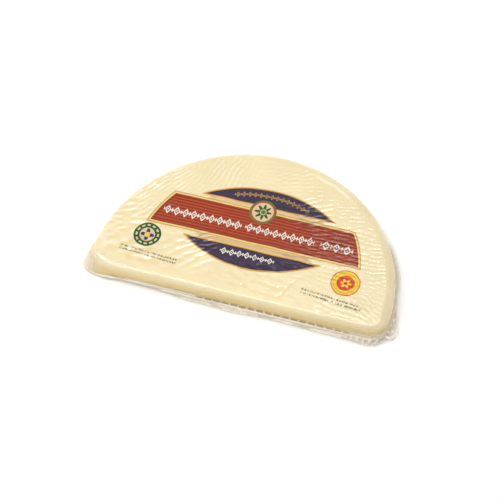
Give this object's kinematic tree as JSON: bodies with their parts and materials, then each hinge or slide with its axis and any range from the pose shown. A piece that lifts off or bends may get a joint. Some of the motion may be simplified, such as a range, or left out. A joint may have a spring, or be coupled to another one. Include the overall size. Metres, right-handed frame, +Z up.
{
  "type": "vacuum-packed half-moon slab of provolone cheese",
  "caption": "Half-moon slab of pale cheese with one straight cut side, sealed under vacuum in clear film with a narrow welded rim round its foot.",
  "frame": {"origin": "middle of the pack's footprint, on the surface it lies on", "axes": "+X along the straight cut side, +Y from the cut side towards the round rim, +Z up through the thickness"},
  "size_m": [0.2534, 0.142, 0.0205],
  "materials": {
    "film": "clear wrinkled vacuum film, glossy, over pale cheese",
    "cheese": "pale ivory cheese, smooth and a little translucent",
    "print": "printed fields of red, indigo, gold and cream under a gloss film"
  },
  "bodies": {
    "root": {"sealed_pack": "film"}
  },
  "joints": []
}
